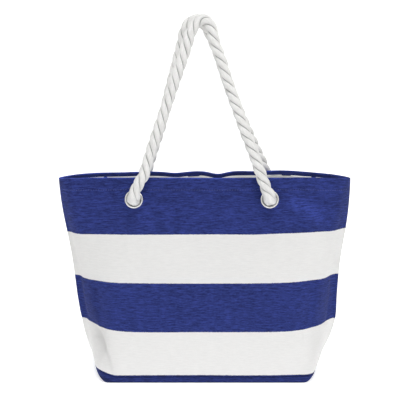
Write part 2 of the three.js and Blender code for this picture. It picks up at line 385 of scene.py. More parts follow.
def woven_height(shader):
    """Crosswise ribs with the finer warp between them, and thick places in the yarn."""
    ribs = shader.wave((0.0, 700.0, 0.0), "Y")
    warp = shader.wave((900.0, 0.0, 0.0), "X")
    slubs = shader.noise((45.0, 620.0, 1.0), detail=3.0)
    return shader.total(ribs, (warp, 0.45), (slubs, 2.2))


def woven_tone(shader, spread):
    """The light and dark yarn streaks that run across the cloth, and broad faint wear."""
    streaks = shader.noise((70.0, 600.0, 1.0), roughness=0.6)
    short_streaks = shader.noise((260.0, 1100.0, 1.0))
    wear = shader.noise((8.0, 11.0, 1.0))
    mean = shader.math("DIVIDE", shader.total(streaks, (short_streaks, 0.6), (wear, 0.12)), 1.72)
    return shader.ranged(mean, 1 - spread, 1 + spread, 0.38, 0.62)


def striped_canvas():
    """Navy and white stripes, with a painted highlight along the rolled rim, painted shade at the foot and
    where it stands, a painted shadow at the base's seam, and painted sheen and painted shade in places.
    """
    shader = Shader("striped_canvas", Roughness=0.85, Sheen_Weight=0.04, Specular_IOR_Level=0.15)
    height = shader.coordinate("Z")
    wobble = shader.ranged(shader.noise((400.0, 60.0, 1.0), detail=1.0), -0.0006, 0.0006)
    ramp = shader.add("ShaderNodeValToRGB")
    shader.join(shader.math("DIVIDE", shader.math("ADD", height, wobble), RAMP_HEIGHT), ramp.inputs["Fac"])
    ramp.color_ramp.interpolation = "CONSTANT"
    stops = ramp.color_ramp.elements
    stops.remove(stops[1])
    stops[0].color = (*NAVY, 1)
    for number, edge in enumerate(STRIPE_EDGES):
        stops.new(edge / RAMP_HEIGHT).color = (*(NAVY if number % 2 else WHITE), 1)
    tone = shader.add("ShaderNodeMix")
    shader.join(shader.math("LESS_THAN", ramp.outputs["Color"], 0.5), tone.inputs[0])
    shader.join(woven_tone(shader, 0.03), tone.inputs[2])
    shader.join(woven_tone(shader, 0.52), tone.inputs[3])
    # painted highlight: the rolled rim is painted up to twice as light, for the light line that the roll's
    # top catches
    painted_rim_highlight = shader.ranged(height, 1.0, 2.0, RIM_HEIGHT - 0.0030, RIM_HEIGHT - 0.0006)
    shaded_foot = shader.ranged(height, 0.78, 1.0, 0.012, 0.015)
    # painted shadow: a thin dark line at the base's seam, below the lowest white band, where the overlapping
    # cloth casts shade
    from_seam = shader.math("ABSOLUTE", shader.math("SUBTRACT", height, STRIPE_EDGES[0] - 0.0016), 0.0)
    seam_shadow = shader.ranged(from_seam, 0.55, 1.0, 0.0007, 0.0016)
    # painted shade: the lowest 3 mm, where the bag stands on the ground, are painted darker, down to about
    # half as light
    ground_shade = shader.ranged(height, 0.55, 1.0, 0.0012, 0.0032)
    # painted sheen and painted shade, stored on the points
    painted_sheen_and_shade = shader.math("ADD", shader.add("ShaderNodeAttribute", attribute_name="painted_sheen_and_shade").outputs["Fac"], 1.0)
    # the cloth's own streaky tone, times the painted highlight, painted shade, painted shadow and painted
    # sheen
    wear = shader.product(tone.outputs[0], painted_rim_highlight, shaded_foot, seam_shadow, ground_shade, painted_sheen_and_shade)
    return shader.finish(shader.tinted(ramp.outputs["Color"], wear), woven_height(shader), depth=0.00022,
                         strength=0.7)


def navy_facing():
    shader = Shader("navy_facing", Roughness=0.85, Sheen_Weight=0.1, Specular_IOR_Level=0.2)
    # painted shade: the facing is the canvas's own navy, painted 15% darker for the shade inside the mouth
    colour = shader.tinted(tuple(0.85 * value for value in NAVY), woven_tone(shader, 0.3))
    return shader.finish(colour, woven_height(shader), depth=0.00022, strength=0.7)


def white_lining():
    shader = Shader("white_lining", Roughness=0.9, Sheen_Weight=0.15, Specular_IOR_Level=0.2)
    colour = shader.tinted((0.92, 0.915, 0.90), woven_tone(shader, 0.05))
    height = shader.math("ADD", shader.wave((1600.0, 0.0, 0.0), "X"), shader.wave((0.0, 1600.0, 0.0), "Y"))
    return shader.finish(colour, height, depth=0.0001, strength=0.6)


def cotton_rope():
    """Yarns lie nearly along the rope, so their grain is long that way. The grooves between the strands are
    painted darker, as painted shade.
    """
    shader = Shader("cotton_rope", Roughness=0.88, Sheen_Weight=0.15, Specular_IOR_Level=0.2)
    yarns = shader.noise((800.0, 60.0, 800.0), detail=3.0, roughness=0.65)
    fuzz = shader.noise((2600.0, 700.0, 2600.0))
    patches = shader.noise((90.0, 40.0, 90.0))
    from_axis = shader.add("ShaderNodeVectorMath", operation="LENGTH")
    shader.join(shader.cloth_coordinates((1, 0, 1)), from_axis.inputs[0])
    half = ROPE_DIAMETER / 2
    # painted shade: down to about a third as light in the grooves between the strands
    groove = shader.ranged(from_axis.outputs["Value"], 0.34, 1.0, half * 0.60, half * 0.76)
    mottle = shader.total(shader.product(yarns, 0.7), (patches, 0.3))
    tone = shader.product(shader.ranged(mottle, 0.86, 1.08, 0.3, 0.7), groove)
    colour = shader.tinted((0.89, 0.885, 0.87), tone)
    return shader.finish(colour, shader.total(yarns, (fuzz, 0.35)), depth=0.0006, strength=0.8)


def nickel():
    shader = Shader("nickel", Metallic=1.0, Roughness=0.2)
    marks = shader.noise((300.0, 300.0, 300.0), detail=4.0)
    # painted shade: the metal is painted darker from partway up the flange's dome down into the barrel, to
    # about an eighth as light; the washer, which lies deeper, is painted at the darkest
    bore_shade = shader.ranged(shader.coordinate("Y"), 0.12, 1.0, -0.0008, 0.0008)
    colour = shader.tinted((0.93, 0.925, 0.91), shader.product(shader.ranged(marks, 0.92, 1.05), bore_shade))
    shader.join(shader.ranged(marks, 0.10, 0.24), shader.bsdf.inputs["Roughness"])
    return shader.finish(colour)


def end_tape():
    shader = Shader("end_tape", Roughness=0.45, Coat_Weight=0.2)
    turns = shader.wave((0.0, 320.0, 0.0), "Y")
    marks = shader.noise((120.0, 500.0, 120.0))
    colour = shader.tinted((0.78, 0.78, 0.76), shader.ranged(marks, 0.9, 1.08))
    return shader.finish(colour, turns, depth=0.0002, strength=0.5)


def stitch_thread():
    shader = Shader("stitch_thread", Roughness=0.6, Sheen_Weight=0.2)
    marks = shader.noise((2000.0, 2000.0, 2000.0))
    colour = shader.tinted((0.038, 0.054, 0.22), shader.ranged(marks, 0.7, 1.3))
    return shader.finish(colour, marks, depth=0.0001, strength=0.5)


CANVAS = striped_canvas()
FACING = navy_facing()
LINING = white_lining()
ROPE = cotton_rope()
NICKEL = nickel()
TAPE = end_tape()
THREAD = stitch_thread()


# ---- the bag's surface

def section_values(z):
    """The half width, half depth, flatness and pinch of the bag at each height."""
    return [smooth_between(z, SECTIONS[:, 0], SECTIONS[:, k]) for k in range(1, 5)]


def wall_points(t, z, side, inset=0.0, narrowing=0.0):
    """Points on the wall, `inset` inside its outer face, for t from -1 to 1 and nominal heights z."""
    half_width, half_depth, flatness, pinch = section_values(z)
    half_width = half_width - inset - narrowing
    t = np.clip(t, -1, 1)
    outline = (1 - np.abs(t) ** flatness) ** pinch
    into_seam = np.clip((np.abs(t) * half_width - half_width + SEAM_ROUNDING) / SEAM_ROUNDING, 0, 1)
    seam_depth = SEAM_ROUNDING * np.sqrt(1 - into_seam ** 2)
    depth = ((half_depth - inset) * outline) ** 2 + (seam_depth * smoothstep(outline, 0.35, 0)) ** 2
    depth = np.maximum(np.sqrt(depth), SEAM_GAP)
    drop = RIM_SIDE_DROP * np.abs(t) ** 6 * (z / RIM_HEIGHT) ** 3
    height = inset + z * (RIM_HEIGHT - inset) / RIM_HEIGHT
    sideways = np.interp(z, LOPSIDED[:, 0], LOPSIDED[:, 1]) * smoothstep(np.abs(t), 0.58, 1.0)
    return np.stack([half_width * t + sideways, side * depth, height - drop + rim_wave(t, z, side)], axis=-1)


# Where the rim dips or rises: the place across the bag, the width and the height, in metres.
RIM_DIPS = {
    FRONT: [(-0.190, 0.040, 0.0006), (0.020, 0.050, -0.0006), (0.185, 0.030, 0.0007)],
    BACK: [(0.025, 0.017, -0.0042), (-0.055, 0.020, -0.0026), (-0.010, 0.018, 0.0008), (0.065, 0.022, 0.0010),
           (-0.160, 0.035, -0.0010), (0.143, 0.045, 0.0024)],
}


def rim_wave(t, z, side):
    """The rise and fall of the rim, which fades out down the wall."""
    x = t * SECTIONS[-1, 1]
    wave = sum(rise * np.exp(-((x - place) / width) ** 2) for place, width, rise in RIM_DIPS[side])
    return wave * smoothstep(z, RIM_HEIGHT - 0.045, RIM_HEIGHT - 0.004)


def even_grid(z_rows, side):
    """The grid's t and z, with columns that divide each row's outline into equal lengths."""
    fine_t = np.sin(np.linspace(-pi / 2, pi / 2, 1201))
    rows = []
    for height in z_rows:
        outline = wall_points(fine_t, np.full_like(fine_t, height), side)
        lengths = np.concatenate([[0], np.cumsum(np.linalg.norm(np.diff(outline, axis=0), axis=1))])
        rows.append(np.interp(np.linspace(0, lengths[-1], CLOTH_COLUMNS), lengths, fine_t))
    return np.array(rows), np.repeat(z_rows[:, None], CLOTH_COLUMNS, axis=1)


# How far the walls lean in at the eyelets, in radians.
LEAN_HEIGHTS = [EYELET_HEIGHT - LEAN_REACH, EYELET_HEIGHT + LEAN_REACH]
LEAN_DEPTHS = np.interp(LEAN_HEIGHTS, SECTIONS[:, 0], SECTIONS[:, 2])
LEAN = atan2(LEAN_DEPTHS[0] - LEAN_DEPTHS[1], 2 * LEAN_REACH)


def eyelet_x(hand, side):
    """Where an eyelet's centre lies across the bag."""
    return hand * EYELET_X + side * EYELET_SHIFT


def eyelet_frame(hand, side):
    """The matrix of an eyelet: its origin is on the canvas and its Z axis points out of the bag."""
    depth = np.interp(EYELET_HEIGHT, SECTIONS[:, 0], SECTIONS[:, 2])
    turn = Matrix.Rotation(-side * (pi / 2 - LEAN), 4, "X")
    return Matrix.Translation((eyelet_x(hand, side), side * depth, EYELET_HEIGHT)) @ turn


def opened_round_eyelets(t, z, side):
    """Slides the grid's parameters away from each eyelet, so that a ring of points lies on its hole.

    Returns the new t and z and which faces remain."""
    kept = np.ones((t.shape[0] - 1, t.shape[1] - 1), bool)
    half_width = section_values(z)[0]
    for hand in (-1, 1):
        eyelet_centre = eyelet_x(hand, side)
        dx = t * half_width - eyelet_centre
        dz = (z - EYELET_HEIGHT) / cos(LEAN)
        row = int(np.argmin(np.abs(z[:, 0] - EYELET_HEIGHT)))
        column = int(np.argmin(np.abs(dx[row])))
        block = tuple(slice(middle - HOLE_BLOCK, middle + HOLE_BLOCK + 1) for middle in (row, column))
        distance = np.hypot(dx, dz)
        ux = dx / np.maximum(distance, 1e-9)
        uz = dz / np.maximum(distance, 1e-9)
        block_edge = np.minimum(*[
            np.where(u > 0, d[block].max() / np.maximum(u, 1e-9), d[block].min() / np.minimum(u, -1e-9))
            for d, u in ((dx, ux), (dz, uz))
        ])
        share = np.clip((distance - block_edge) / (HOLE_REACH - block_edge), 0, 1)
        moved = CLOTH_HOLE + share * (HOLE_REACH - CLOTH_HOLE)
        moved[block] = CLOTH_HOLE
        near = distance < HOLE_REACH
        z = np.where(near, EYELET_HEIGHT + moved * uz * cos(LEAN), z)
        half_width = section_values(z)[0]
        t = np.where(near, (eyelet_centre + moved * ux) / half_width, t)
        kept[row - HOLE_BLOCK:row + HOLE_BLOCK, column - HOLE_BLOCK:column + HOLE_BLOCK] = False
    return t, z, kept


def ridge(x, z, start, end, width, height, skew=0.0):
    """A long soft fold from start to end, fading at both ends. A skew makes one flank steeper."""
    (x0, z0), (x1, z1) = start, end
    length = hypot(x1 - x0, z1 - z0)
    along = ((x - x0) * (x1 - x0) + (z - z0) * (z1 - z0)) / length ** 2
    across = ((x - x0) * (z1 - z0) - (z - z0) * (x1 - x0)) / length
    taper = smoothstep(along, -0.05, 0.35) * smoothstep(along, 1.1, 0.6)
    flank = np.where(across > 0, width * (1 + skew), width * (1 - skew))
    return height * taper * np.exp(-(across / flank) ** 2)


# The folds that stand out of each wall: start and end as x and z, width, height and skew.
FRONT_FOLDS = [
    ((0.130, 0.335), (0.222, 0.277), 0.014, 0.0052, 0.3),
    ((0.128, 0.310), (0.165, 0.235), 0.009, 0.0010, -0.2),
    ((-0.135, 0.322), (-0.215, 0.262), 0.012, 0.0011, 0.2),
    ((-0.115, 0.322), (-0.060, 0.285), 0.011, 0.0020, 0.2),
    ((0.105, 0.322), (0.030, 0.290), 0.013, 0.0008, -0.2),
    ((-0.202, 0.110), (-0.163, 0.006), 0.008, -0.0060, 0.35),
    ((0.226, 0.105), (0.178, 0.012), 0.008, -0.0014, 0.2),
    ((-0.205, 0.200), (-0.120, 0.120), 0.022, 0.0016, 0.2),
    ((0.205, 0.210), (0.150, 0.100), 0.020, 0.0016, -0.3),
    ((-0.060, 0.150), (0.060, 0.120), 0.026, -0.0010, 0.0),
]
BACK_FOLDS = [
    ((-0.132, 0.325), (-0.210, 0.250), 0.011, 0.0015, 0.3),
    ((0.132, 0.322), (0.205, 0.262), 0.012, 0.0012, 0.1),
    ((0.228, 0.105), (0.172, 0.012), 0.007, -0.0020, 0.3),
    ((-0.226, 0.105), (-0.178, 0.012), 0.008, -0.0015, 0.2),
    ((0.190, 0.200), (0.110, 0.110), 0.022, 0.0018, 0.2),
    ((-0.200, 0.190), (-0.140, 0.100), 0.020, 0.0014, -0.3),
]
FOLDS = {FRONT: FRONT_FOLDS, BACK: BACK_FOLDS}


def cubic_weights(share):
    """The weights of four points in a row for a place between the middle two."""
    return [
        share * (-0.5 + share * (1.0 - 0.5 * share)), 1 + share ** 2 * (-2.5 + 1.5 * share),
        share * (0.5 + share * (2.0 - 1.5 * share)), share ** 2 * (-0.5 + 0.5 * share),
    ]


def smooth_lookup(grid, row, column):
    """Bicubic interpolation in a grid at fractional rows and columns."""
    whole_row = np.floor(row).astype(int)
    whole_column = np.floor(column).astype(int)
    total = 0
    for a, row_weight in enumerate(cubic_weights(row - whole_row)):
        for b, column_weight in enumerate(cubic_weights(column - whole_column)):
            rows = np.clip(whole_row + a - 1, 0, grid.shape[0] - 1)
            columns = np.clip(whole_column + b - 1, 0, grid.shape[1] - 1)
            total = total + row_weight * column_weight * grid[rows, columns]
    return total


def held_share(t, z, side):
    """Where the simulated cloth is held: at the base, the side seams, the rim and the eyelets."""
    x = t * section_values(z)[0]
    held = np.maximum(1 - smoothstep(z, 0.0, 0.020), smoothstep(np.abs(t), 0.90, 0.99))
    held = np.maximum(held, 0.9 * smoothstep(z, RIM_HEIGHT - 0.022, RIM_HEIGHT - 0.008))
    return np.maximum(held, 1 - clear_of_eyelets(x, z, side))


def settled_cloth(side):
    """A cloth simulation of one wall on a coarse grid: how far each point settles, in metres.

    The grid's rows are at SETTLING_HEIGHTS and its columns are evenly spaced in t."""
    t_row = np.linspace(-1, 1, SETTLING_COLUMNS)
    t, z = np.meshgrid(t_row, SETTLING_HEIGHTS[::-1])
    points = wall_points(t, z, side)
    normals = outward(points, side)
    mesh = bpy.data.meshes.new("settling_cloth")
    mesh.from_pydata(points.reshape(-1, 3).tolist(), [], quads(*points.shape[:2]).tolist())
    cloth = placed_object("settling_cloth", mesh)
    group = cloth.vertex_groups.new(name="held")
    for number, share in enumerate(held_share(t, z, side).ravel()):
        group.add([number], float(share), "REPLACE")
    settings = cloth.modifiers.new("settling", "CLOTH").settings
    settings.quality = 6
    settings.mass = 0.25
    settings.tension_stiffness = 40
    settings.compression_stiffness = 40
    settings.shear_stiffness = 20
    settings.bending_stiffness = 4
    settings.shrink_min = -CLOTH_SLACK
    settings.vertex_group_mass = "held"
    for moment in range(1, SETTLING_FRAMES + 1):
        bpy.context.scene.frame_set(moment)
    result = cloth.evaluated_get(bpy.context.evaluated_depsgraph_get()).data
    settled = np.empty(3 * len(result.vertices))
    result.vertices.foreach_get("co", settled)
    distance = ((settled.reshape(points.shape) - points) * normals).sum(axis=2)
    bpy.data.objects.remove(cloth)
    bpy.data.meshes.remove(mesh)
    bpy.context.scene.frame_set(1)
    return MOST_SETTLING * np.tanh(distance[::-1] / MOST_SETTLING)


def settling(x, z, side):
    """How far the simulated cloth settled at any place on a wall."""
    if side not in SETTLED:
        SETTLED[side] = settled_cloth(side)
    t = np.clip(x / section_values(z)[0], -1, 1)
    row = np.clip(z, 0, SETTLING_HEIGHTS[-1]) / (SETTLING_HEIGHTS[1] - SETTLING_HEIGHTS[0])
    return smooth_lookup(SETTLED[side], row, (t + 1) / 2 * (SETTLING_COLUMNS - 1))


def cloth_waves(x, z, side):
    """How far the canvas stands out of its plain shape, in metres."""
    seed = 11 if side == FRONT else 47
    broad = 0.0020 * noise(x, z, 0.095, 0.080, seed) + 0.0010 * noise(x + z, z - x, 0.060, 0.060, seed + 1)
    medium = 0.00045 * noise(x + 0.3 * z, z, 0.024, 0.034, seed + 2)
    fine = 0.00014 * noise(x, z, 0.007, 0.010, seed + 3)
    total = broad + medium + fine
    for fold in FOLDS[side]:
        total = total + ridge(x, z, *fold)
    edge_hold = 1 - 0.75 * smoothstep(z, RIM_HEIGHT - 0.035, RIM_HEIGHT - 0.012)
    base_hold = smoothstep(z, 0.0, 0.030)
    return total * edge_hold * base_hold + settling(x, z, side)


def seam_puckers(x, z, side):
    """The topstitch's shallow groove and the small puckers along it."""
    groove = -0.00045 * np.exp(-((z - STITCH_HEIGHT) / 0.0016) ** 2)
    puckers = 0.00030 * noise(x, 0.0, 0.0055, 1, 71 + side) * np.exp(-((z - STITCH_HEIGHT) / 0.006) ** 2)
    return groove + puckers


def clear_of_eyelets(x, z, side):
    """0 under each eyelet and 1 away from it."""
    left, right = [np.hypot(x - eyelet_x(hand, side), z - EYELET_HEIGHT) for hand in (-1, 1)]
    return smoothstep(left, 0.018, 0.040) * smoothstep(right, 0.018, 0.040)


def outward(points, side):
    """Unit normals of a grid of points whose rows run down the wall, pointing out of the bag."""
    down = np.gradient(points, axis=0)
    across = np.gradient(points, axis=1)
    normals = unit(np.cross(down, across))
    return normals if side == FRONT else -normals


def cloth_surface(side, top, inset, narrowing):
    """A grid of points down one wall from nominal height `top` and in under the base to the middle."""
    z_rows = np.concatenate([np.arange(top, 0.012, -ROW_SPACING), [0.0105, 0.008, 0.006, 0.004, 0.002, 0.0]])
    t, z, kept = opened_round_eyelets(*even_grid(z_rows, side), side)
    wall = wall_points(t, z, side, inset, narrowing)
    share = np.linspace(0, 1, BASE_ROWS + 1)[1:, None]
    base = np.repeat(wall[-1:], BASE_ROWS, axis=0)
    base[:, :, 1] = wall[-1, :, 1] * (1 - share) + side * SEAM_GAP * share
    points = np.concatenate([wall, base])
    kept = np.concatenate([kept, np.ones((BASE_ROWS, CLOTH_COLUMNS - 1), bool)])
    height = np.concatenate([z, np.zeros(base.shape[:2])])
    return points, height, kept


def rounded_fold(points, centre_row, reach=3):
    """Rounds the fold at the base edge by averaging each row with its neighbours."""
    block = points[centre_row - reach:centre_row + reach + 1]
    block[1:-1] = 0.5 * block[1:-1] + 0.25 * (block[:-2] + block[2:])


def canvas_panel(side):
    """One canvas half: its wall, rolled over at the rim, and its half of the base."""
    points, height, kept = cloth_surface(side, RIM_HEIGHT - ROLL_RADIUS, 0, 0)
    rounded_fold(points, int(np.sum(height[:, 0] > 0)))
    x = points[..., 0]
    offset = cloth_waves(x, height, side) + seam_puckers(x, height, side)
    offset = offset * clear_of_eyelets(x, height, side)
    seam_hold = smoothstep(np.abs(points[..., 1]), 0.002, 0.016)
    points = points + outward(points, side) * (offset * seam_hold)[..., None]
    normals = outward(points, side)
    angles = np.linspace(pi, 0, 10)[:-1]
    out = normals[0]
    up = unit(points[0] - points[1])
    rolled = np.array([cos(a) * out + sin(a) * up for a in angles])
    points = np.concatenate([points[0] + ROLL_RADIUS * (rolled - out), points])
    normals = np.concatenate([rolled, normals])
    height = np.concatenate([np.full((len(angles), CLOTH_COLUMNS), RIM_HEIGHT), height])
    kept = np.concatenate([np.ones((len(angles), CLOTH_COLUMNS - 1), bool), kept])
    inner = points - normals * CANVAS_THICKNESS
    stripes = striped_height(points[..., 0], height)
    name = SIDE_NAMES[side]
    made = closed_sheet(f"{name}_canvas", side, points, inner, kept, SEAM_GAP, stripes, CANVAS)
    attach(made, "bag")
    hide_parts(f"{name}_panel")
    paint_sheen_and_shade(made, side)
    return points, normals, height


# Painted sheen and painted shade: where the cloth is painted paler than elsewhere, as the sheen on the folds
# by the eyelets, or darker, as the shade on the lower sides: a line's start and end, the width and the
# change.
PAINTED_SHEEN_AND_SHADE = {
    FRONT: [
        ((0.140, 0.338), (0.226, 0.286), 0.013, 0.50), ((-0.122, 0.310), (-0.088, 0.280), 0.010, 0.22),
        ((-0.215, 0.190), (-0.172, 0.000), 0.016, -0.15), ((0.235, 0.190), (0.190, 0.000), 0.016, -0.07),
    ],
    BACK: [((-0.140, 0.338), (-0.222, 0.290), 0.013, 0.35), ((0.215, 0.190), (0.172, 0.000), 0.016, -0.10)],
}


def paint_sheen_and_shade(made, side):
    """Stores the painted sheen and painted shade: how much paler or darker the cloth is painted at each
    point, as a point attribute that the canvas material reads.
    """
    corners = np.empty(3 * len(made.data.vertices))
    made.data.vertices.foreach_get("co", corners)
    x, z = corners[0::3], corners[2::3]
    change = sum(ridge(x, z, *line) for line in PAINTED_SHEEN_AND_SHADE[side])
    attribute = made.data.attributes.new("painted_sheen_and_shade", "FLOAT", "POINT")
    attribute.data.foreach_set("value", change.astype(np.float32))


def striped_height(x, height):
    """The height in the striped cloth, whose stripes rise a little at the side seams."""
    t = np.clip(x / section_values(height)[0], -1, 1)
    left = np.interp(height, STRIPE_RISE[:, 0], STRIPE_RISE[:, 1])
    right = np.interp(height, STRIPE_RISE[:, 0], STRIPE_RISE[:, 2])
    rise = np.where(t < 0, left, right) * t ** 6
    rise = rise + 0.0022 * smoothstep(t, 0.30, 0.60) * smoothstep(height, 0.15, 0.24)
    low = smoothstep(height, 0.0, 0.010) * smoothstep(height, 0.050, 0.020)
    gathered_corner = 0.009 * smoothstep(-t, 0.78, 0.92) * low
    return height - rise - gathered_corner


def cloth_coordinates(points, height):
    """Each point's length across and down the cloth, and its nominal height, in metres."""
    across = np.linalg.norm(np.diff(points, axis=1), axis=2).cumsum(axis=1)
    across = np.concatenate([np.zeros((len(points), 1)), across], axis=1)
    across = across - across[:, -1:] / 2
    down = np.linalg.norm(np.diff(points, axis=0), axis=2).mean(axis=1).cumsum()
    down = np.concatenate([[0], down])[:, None] + np.zeros_like(across)
    return np.stack([across, down, height], axis=-1)


def rim_facing(side):
    """The canvas turned in at the rim, seen inside the mouth."""
    top = RIM_HEIGHT - ROLL_RADIUS
    rows = np.linspace(top, RIM_HEIGHT - FACING_HEIGHT, 9)
    t, z = even_grid(rows, side)
    points = wall_points(t, z, side)
    normals = outward(points, side)
    x = points[..., 0]
    offset = cloth_waves(x, z, side) * clear_of_eyelets(x, z, side)
    sag = 0.0010 * smoothstep(top - z, 0.0, FACING_HEIGHT) * noise(x, 0.0, 0.030, 1, 91 + side)
    points = points + normals * (offset - 2 * ROLL_RADIUS + CANVAS_THICKNESS + sag - 0.0006)[..., None]
    inner = points - normals * CANVAS_THICKNESS
    kept = np.ones((len(rows) - 1, CLOTH_COLUMNS - 1), bool)
    name = SIDE_NAMES[side]
    made = closed_sheet(f"{name}_facing", side, points, inner, kept, 3 * SEAM_GAP, z, FACING)
    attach(made, "bag")
    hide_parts(f"{name}_rim_facing")


def lining(side):
    """The white lining, which hangs a little loose inside the canvas."""
    top = RIM_HEIGHT - FACING_HEIGHT + 0.0008
    points, height, kept = cloth_surface(side, top, LINING_INSET, LINING_NARROWING)
    x = points[..., 0]
    clear = clear_of_eyelets(x, height, side)
    waves = cloth_waves(x, height, side) * clear
    loose = 0.0011 * (noise(x + 0.2 * height, height, 0.016, 0.070, 131 + side) - 1) * clear
    loose = loose + 0.0006 * (noise(x, height, 0.030, 0.022, 137 + side) - 1) * clear
    loose = loose * smoothstep(height, 0.0, 0.02)
    seam_hold = smoothstep(np.abs(points[..., 1]), 0.002, 0.014)
    points = points + outward(points, side) * ((waves + loose) * seam_hold)[..., None]
    inner = points - outward(points, side) * LINING_THICKNESS
    name = SIDE_NAMES[side]
    made = closed_sheet(f"{name}_bag_lining", side, points, inner, kept, 2 * SEAM_GAP, height, LINING)
    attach(made, "bag")
    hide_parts(f"{name}_lining")


def topstitch(side, points, normals, height):
    """A row of thread stitches along the rim, lying in the canvas."""
    row = int(np.argmin(np.abs(height[:, 0] - STITCH_HEIGHT)))
    clear_of_seams = slice(SEAM_COLUMNS, -SEAM_COLUMNS)
    line, stations = evenly_spaced(points[row, clear_of_seams], STITCH_STEP)
    out = normals[row, clear_of_seams]
    places = [np.linspace(0, 1, count) for count in (len(line), len(out))]
    out = unit(np.stack([np.interp(*places, out[:, k]) for k in range(3)], axis=1))
    beside = np.cross(out, unit(np.gradient(line, axis=0)))
    tube_faces = quads(STITCH_STEPS + 1, THREAD_SIDES, closed=True)[:, [0, 3, 2, 1]]
    vertices, faces, coordinates = [], [], []
    for start in range(0, len(line) - STITCH_STEPS - 1, STITCH_STEPS + STITCH_GAP):
        first = len(vertices)
        for place in range(start, start + STITCH_STEPS + 1):
            share = (place - start) / STITCH_STEPS
            lift = 0.00030 * sin(pi * share) - 0.00015
            width = THREAD_RADIUS * (0.35 + 0.65 * sin(pi * min(max(share, 0.08), 0.92)) ** 0.4)
            for corner in range(THREAD_SIDES):
                angle = 2 * pi * corner / THREAD_SIDES
                rise = out[place] * (lift + width * sin(angle))
                vertices.append(line[place] + rise + beside[place] * width * cos(angle))
                coordinates.append((stations[place], width * angle, 0))
        faces += (tube_faces + first).tolist()
        last = first + STITCH_STEPS * THREAD_SIDES
        faces.append(tuple(range(first, first + THREAD_SIDES))[::-1])
        faces.append(tuple(range(last, last + THREAD_SIDES)))
    name = f"{SIDE_NAMES[side]}_topstitch"
    made = mesh_object(name, vertices, faces, THREAD, coordinates)
    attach(made, "bag")


# ---- rope

def travelling_frames(path):
    """Tangents and two cross directions that turn as little as they can along the path."""
    tangents = unit(np.gradient(path, axis=0))
    across = [unit(np.cross(tangents[0], (1, 0, 0)))]
    for tangent in tangents[1:]:
        across.append(unit(across[-1] - tangent * np.dot(across[-1], tangent)))
    return tangents, np.array(across), np.cross(tangents, across)


def strand_outline():
    """Radius and angle round a three-strand rope of unit radius, and the angle within each strand."""
    local = np.linspace(-pi / 3, pi / 3, POINTS_PER_STRAND, endpoint=False)
    radius = 1 - 0.40 * np.abs(local / (pi / 3)) ** 2.6
    angle = np.concatenate([local + 2 * pi * k / 3 for k in range(3)])
    return np.tile(radius, 3), angle, np.tile(local, 3)


def twisted_rope(name, path_points, seed, squeeze):
    """A left-laid three-strand rope as one closed tube along a path. `squeeze` scales its thickness."""
    path, stations = evenly_spaced(centripetal_points(path_points), RING_SPACING)
    tangents, across, beside = travelling_frames(path)
    outline, angles, local = strand_outline()
    along = stations[:, None]
    world_angle = angles + (ROPE_PHASE - 2 * pi * along / ROPE_LAY)
    lumps = noise(along, angles[None] * 0.01, 0.013, 0.012, seed)
    sway = 0.35 * noise(along, local[None] * 0.01, 0.02, 0.01, seed + 5)
    yarns = np.abs(np.sin(15 * world_angle + sway * 3 + 25 * along))
    grooves = smoothstep(np.abs(local), pi / 3, pi / 3 - 0.35)
    radius = ROPE_DIAMETER / 2 * outline * (1 + 0.018 * lumps) + 0.00022 * (yarns - 0.6) * grooves
    radius = radius * squeeze(stations, stations[-1])[:, None]
    a = np.cos(world_angle) * radius
    b = np.sin(world_angle) * radius
    points = path[:, None] + a[..., None] * across[:, None] + b[..., None] * beside[:, None]
    rings, count = points.shape[:2]
    start, end, last = rings * count, rings * count + 1, (rings - 1) * count
    faces = quads(rings, count, closed=True).tolist()
    for corner in range(count):
        following = (corner + 1) % count
        faces += [(start, corner, following), (end, last + following, last + corner)]
    tips = [path[0] - tangents[0] * 0.001, path[-1] + tangents[-1] * 0.001]
    vertices = np.concatenate([points.reshape(-1, 3), tips])
    coordinates = np.stack([a, along + 0 * radius, b], axis=-1).reshape(-1, 3)
    coordinates = np.concatenate([coordinates, [(0, 0, 0), (0, stations[-1], 0)]])
    return mesh_object(name, vertices, faces, ROPE, coordinates), path, stations


def in_eyelet(hand, side, x, up, out):
    """A point near an eyelet: sideways, up the canvas and out of the bag."""
    upward = Vector((0, -side * sin(LEAN), cos(LEAN)))
    return np.array(eyelet_frame(hand, side) @ Vector((0, 0, out)) + upward * up + Vector((x, 0, 0)))


def handle_path(side):
    """Points along a handle, from inside the left eyelet over the top to inside the right one."""
    end = in_eyelet(-1, side, 0, 0, HANDLE_STAND_OFF)
    points = []
    for x, z in np.array(ROPE_ROUTES[side]) / 1000:
        share = (ROUTE_TOP - z) / (ROUTE_TOP - end[2])
        points.append((x, side * (APEX_HALF_GAP + (abs(end[1]) - APEX_HALF_GAP) * share), z))
    leaving = [(0, -0.0004, -0.006), (0, -0.0004, 0.001), (0.0004, 0.0012, 0.0082), (0.0026, 0.0088, 0.0136)]
    left = [in_eyelet(-1, side, x, up, out) for x, up, out in leaving]
    right = [in_eyelet(1, side, -x, up, out) for x, up, out in leaving]
    return left + points + right[::-1]


def handle(side):
    """A rope handle, which bends where it leaves the eyelets."""
    name = SIDE_NAMES[side]

    def swell(distance, length):
        return 1 + 0.14 * smoothstep(np.abs(distance - length / 2), length / 2 - 0.034, length / 2 - 0.018)

    made, path, stations = twisted_rope(f"{name}_handle", handle_path(side), 301 + side, swell)
    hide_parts(f"{name}_handle_rope")
    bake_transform(made)
    return made, path, stations


KNOT_ROUTE = [
    # sideways, up and into the bag in millimetres, from the eyelet round itself and down to the tail
    (0, 0, 1), (0, 0, 8.5), (3, 1, 16.5), (11, -1, 24.5), (14.5, -8, 24.5),
    (9, -15.5, 18.5), (-3, -16.5, 15), (-12.5, -10, 16.5), (-12.5, -1, 21.5),
    (-3, 4, 27.5), (7, -2, 31), (7, -12.5, 30), (1, -21, 25.5),
    (0, -33, 23.6), (0, -44, 23.4),
]
TAIL_BOTTOM = -0.0525
TAPE_TURNS = 5


